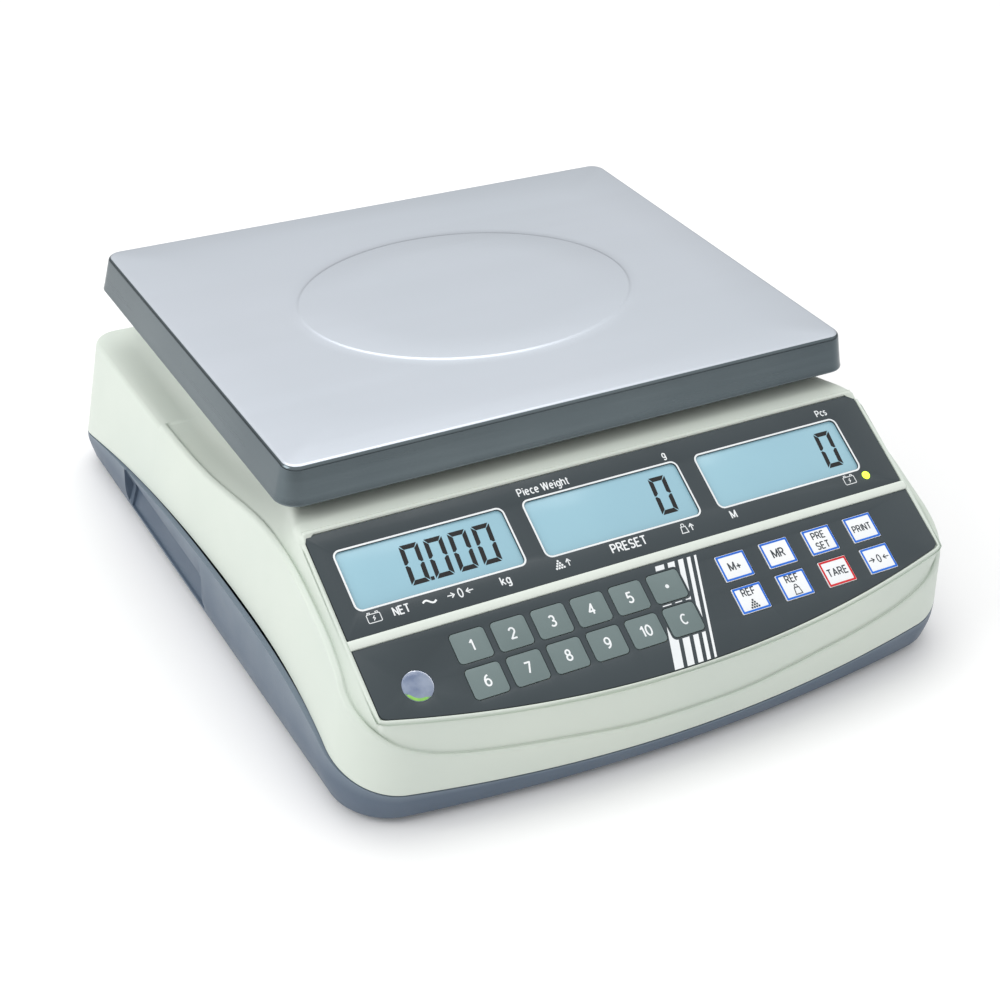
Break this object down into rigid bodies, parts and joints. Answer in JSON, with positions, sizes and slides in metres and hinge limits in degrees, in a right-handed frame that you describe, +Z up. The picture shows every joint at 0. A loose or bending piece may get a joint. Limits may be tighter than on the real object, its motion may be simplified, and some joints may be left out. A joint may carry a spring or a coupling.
{
  "type": "counting scale",
  "caption": "Bench counting scale with a steel pan on a load cell, a sloped panel with displays and film keys, and levelling feet.",
  "frame": {"origin": "on the bench, at the centre of the scale's footprint", "axes": "+Z up, +X to the user's right, -Y towards the user"},
  "size_m": [0.324, 0.355, 0.1258],
  "materials": {
    "base_plastic": "moulded, fine texture",
    "cover_plastic": "moulded, satin, pale greenish white",
    "pan_steel": "fine brushed stainless steel",
    "cast_aluminium": "as cast",
    "load_cell_aluminium": "machined",
    "screw_steel": "zinc plated",
    "black_bolts": "blackened steel",
    "overlay_film": "dark slate polyester film with clear windows and pale print",
    "circuit_film": "polyester film",
    "dome_steel": "spring steel",
    "display_glass": "pale blue display with dark segments",
    "backlight_white": "diffuser",
    "board_green": "solder mask",
    "lamp_green": "lit green lens",
    "level_clear": "clear window",
    "level_liquid": "clear vial with green liquid",
    "battery_case": "moulded",
    "switch_black": "moulded",
    "lead_rubber": "insulated lead",
    "ribbon_grey": "flat ribbon",
    "black_rubber": "moulded rubber",
    "number_key_grey": "embossed film, grey with white figures",
    "function_key_white": "embossed film, white with blue edge",
    "tare_key_white": "embossed film, white with red edge"
  },
  "bodies": {
    "housing": {"base_housing": "base_plastic", "top_cover": "cover_plastic", "screws": "screw_steel", "chassis_frame": "cast_aluminium", "load_cell": "load_cell_aluminium", "fixed_end_bolts": "black_bolts", "overload_stop": "black_bolts", "display_overlay": "overlay_film", "keypad_overlay": "overlay_film", "keypad_circuit": "circuit_film", "key_domes": "dome_steel", "lcd_panels": "display_glass", "lcd_backlights": "backlight_white", "display_board": "board_green", "status_led": "lamp_green", "level_window": "level_clear", "level_vial": "level_liquid", "main_board": "board_green", "battery": "battery_case", "battery_door": "base_plastic", "power_switch_body": "switch_black", "serial_socket": "screw_steel", "dc_socket": "switch_black", "cell_cable": "lead_rubber", "display_ribbon": "ribbon_grey", "battery_leads": "lead_rubber"},
    "platform": {"cell_spacer": "cast_aluminium", "platform_bolts": "black_bolts", "pan_support": "cast_aluminium", "pan_pads": "black_rubber"},
    "pan": {"pan": "pan_steel"},
    "power_rocker": {"power_rocker": "switch_black"},
    "key_1": {"key_1": "number_key_grey"},
    "key_2": {"key_2": "number_key_grey"},
    "key_3": {"key_3": "number_key_grey"},
    "key_4": {"key_4": "number_key_grey"},
    "key_5": {"key_5": "number_key_grey"},
    "key_point": {"key_point": "number_key_grey"},
    "key_6": {"key_6": "number_key_grey"},
    "key_7": {"key_7": "number_key_grey"},
    "key_8": {"key_8": "number_key_grey"},
    "key_9": {"key_9": "number_key_grey"},
    "key_10": {"key_10": "number_key_grey"},
    "key_clear": {"key_clear": "number_key_grey"},
    "key_memory_add": {"key_memory_add": "function_key_white"},
    "key_memory_recall": {"key_memory_recall": "function_key_white"},
    "key_preset": {"key_preset": "function_key_white"},
    "key_print": {"key_print": "function_key_white"},
    "key_ref_count": {"key_ref_count": "function_key_white"},
    "key_ref_weight": {"key_ref_weight": "function_key_white"},
    "key_tare": {"key_tare": "tare_key_white"},
    "key_zero": {"key_zero": "function_key_white"},
    "foot_pad_front_left": {"foot_pad_front_left": "black_rubber"},
    "foot_screw_front_left": {"foot_screw_front_left": "screw_steel"},
    "foot_pad_front_right": {"foot_pad_front_right": "black_rubber"},
    "foot_screw_front_right": {"foot_screw_front_right": "screw_steel"},
    "foot_pad_rear_left": {"foot_pad_rear_left": "black_rubber"},
    "foot_screw_rear_left": {"foot_screw_rear_left": "screw_steel"},
    "foot_pad_rear_right": {"foot_pad_rear_right": "black_rubber"},
    "foot_screw_rear_right": {"foot_screw_rear_right": "screw_steel"}
  },
  "joints": [
    {"name": "platform_load", "type": "slide", "parent": "housing", "child": "platform", "axis": [0, 0, -1], "range_m": [0, 0.0004], "stiffness_N_per_m": 300000},
    {"name": "pan_lift", "type": "slide", "parent": "platform", "child": "pan", "axis": [0, 0, 1], "range_m": [0, 0.06]},
    {"name": "power_rocker_tilt", "type": "hinge", "parent": "housing", "child": "power_rocker", "pos_m": [0.112, -0.07, 0.009], "axis": [0, 1, 0], "range_deg": [0, 16]},
    {"name": "key_1_press", "type": "slide", "parent": "housing", "child": "key_1", "axis": [0, 0.4924, -0.8704], "range_m": [0, 0.0003], "stiffness_N_per_m": 6000},
    {"name": "key_2_press", "type": "slide", "parent": "housing", "child": "key_2", "axis": [0, 0.4924, -0.8704], "range_m": [0, 0.0003], "stiffness_N_per_m": 6000},
    {"name": "key_3_press", "type": "slide", "parent": "housing", "child": "key_3", "axis": [0, 0.4924, -0.8704], "range_m": [0, 0.0003], "stiffness_N_per_m": 6000},
    {"name": "key_4_press", "type": "slide", "parent": "housing", "child": "key_4", "axis": [0, 0.4924, -0.8704], "range_m": [0, 0.0003], "stiffness_N_per_m": 6000},
    {"name": "key_5_press", "type": "slide", "parent": "housing", "child": "key_5", "axis": [0, 0.4924, -0.8704], "range_m": [0, 0.0003], "stiffness_N_per_m": 6000},
    {"name": "key_point_press", "type": "slide", "parent": "housing", "child": "key_point", "axis": [0, 0.4924, -0.8704], "range_m": [0, 0.0003], "stiffness_N_per_m": 6000},
    {"name": "key_6_press", "type": "slide", "parent": "housing", "child": "key_6", "axis": [0, 0.4924, -0.8704], "range_m": [0, 0.0003], "stiffness_N_per_m": 6000},
    {"name": "key_7_press", "type": "slide", "parent": "housing", "child": "key_7", "axis": [0, 0.4924, -0.8704], "range_m": [0, 0.0003], "stiffness_N_per_m": 6000},
    {"name": "key_8_press", "type": "slide", "parent": "housing", "child": "key_8", "axis": [0, 0.4924, -0.8704], "range_m": [0, 0.0003], "stiffness_N_per_m": 6000},
    {"name": "key_9_press", "type": "slide", "parent": "housing", "child": "key_9", "axis": [0, 0.4924, -0.8704], "range_m": [0, 0.0003], "stiffness_N_per_m": 6000},
    {"name": "key_10_press", "type": "slide", "parent": "housing", "child": "key_10", "axis": [0, 0.4924, -0.8704], "range_m": [0, 0.0003], "stiffness_N_per_m": 6000},
    {"name": "key_clear_press", "type": "slide", "parent": "housing", "child": "key_clear", "axis": [0, 0.4924, -0.8704], "range_m": [0, 0.0003], "stiffness_N_per_m": 6000},
    {"name": "key_memory_add_press", "type": "slide", "parent": "housing", "child": "key_memory_add", "axis": [0, 0.4924, -0.8704], "range_m": [0, 0.0003], "stiffness_N_per_m": 6000},
    {"name": "key_memory_recall_press", "type": "slide", "parent": "housing", "child": "key_memory_recall", "axis": [0, 0.4924, -0.8704], "range_m": [0, 0.0003], "stiffness_N_per_m": 6000},
    {"name": "key_preset_press", "type": "slide", "parent": "housing", "child": "key_preset", "axis": [0, 0.4924, -0.8704], "range_m": [0, 0.0003], "stiffness_N_per_m": 6000},
    {"name": "key_print_press", "type": "slide", "parent": "housing", "child": "key_print", "axis": [0, 0.4924, -0.8704], "range_m": [0, 0.0003], "stiffness_N_per_m": 6000},
    {"name": "key_ref_count_press", "type": "slide", "parent": "housing", "child": "key_ref_count", "axis": [0, 0.4924, -0.8704], "range_m": [0, 0.0003], "stiffness_N_per_m": 6000},
    {"name": "key_ref_weight_press", "type": "slide", "parent": "housing", "child": "key_ref_weight", "axis": [0, 0.4924, -0.8704], "range_m": [0, 0.0003], "stiffness_N_per_m": 6000},
    {"name": "key_tare_press", "type": "slide", "parent": "housing", "child": "key_tare", "axis": [0, 0.4924, -0.8704], "range_m": [0, 0.0003], "stiffness_N_per_m": 6000},
    {"name": "key_zero_press", "type": "slide", "parent": "housing", "child": "key_zero", "axis": [0, 0.4924, -0.8704], "range_m": [0, 0.0003], "stiffness_N_per_m": 6000},
    {"name": "foot_front_left_height", "type": "slide", "parent": "housing", "child": "foot_pad_front_left", "axis": [0, 0, -1], "range_m": [0, 0.008]},
    {"name": "foot_front_left_turn", "type": "hinge", "parent": "foot_pad_front_left", "child": "foot_screw_front_left", "pos_m": [-0.125, -0.148, 0.004], "axis": [0, 0, -1], "range_deg": [0, 2305]},
    {"name": "foot_front_right_height", "type": "slide", "parent": "housing", "child": "foot_pad_front_right", "axis": [0, 0, -1], "range_m": [0, 0.008]},
    {"name": "foot_front_right_turn", "type": "hinge", "parent": "foot_pad_front_right", "child": "foot_screw_front_right", "pos_m": [0.125, -0.148, 0.004], "axis": [0, 0, -1], "range_deg": [0, 2305]},
    {"name": "foot_rear_left_height", "type": "slide", "parent": "housing", "child": "foot_pad_rear_left", "axis": [0, 0, -1], "range_m": [0, 0.008]},
    {"name": "foot_rear_left_turn", "type": "hinge", "parent": "foot_pad_rear_left", "child": "foot_screw_rear_left", "pos_m": [-0.125, 0.142, 0.004], "axis": [0, 0, -1], "range_deg": [0, 2305]},
    {"name": "foot_rear_right_height", "type": "slide", "parent": "housing", "child": "foot_pad_rear_right", "axis": [0, 0, -1], "range_m": [0, 0.008]},
    {"name": "foot_rear_right_turn", "type": "hinge", "parent": "foot_pad_rear_right", "child": "foot_screw_rear_right", "pos_m": [0.125, 0.142, 0.004], "axis": [0, 0, -1], "range_deg": [0, 2305]}
  ],
  "couplings": [
    {"joint": "foot_front_left_turn", "follows": "foot_front_left_height", "rad_per_m": 5026.5},
    {"joint": "foot_front_right_turn", "follows": "foot_front_right_height", "rad_per_m": 5026.5},
    {"joint": "foot_rear_left_turn", "follows": "foot_rear_left_height", "rad_per_m": 5026.5},
    {"joint": "foot_rear_right_turn", "follows": "foot_rear_right_height", "rad_per_m": 5026.5}
  ]
}
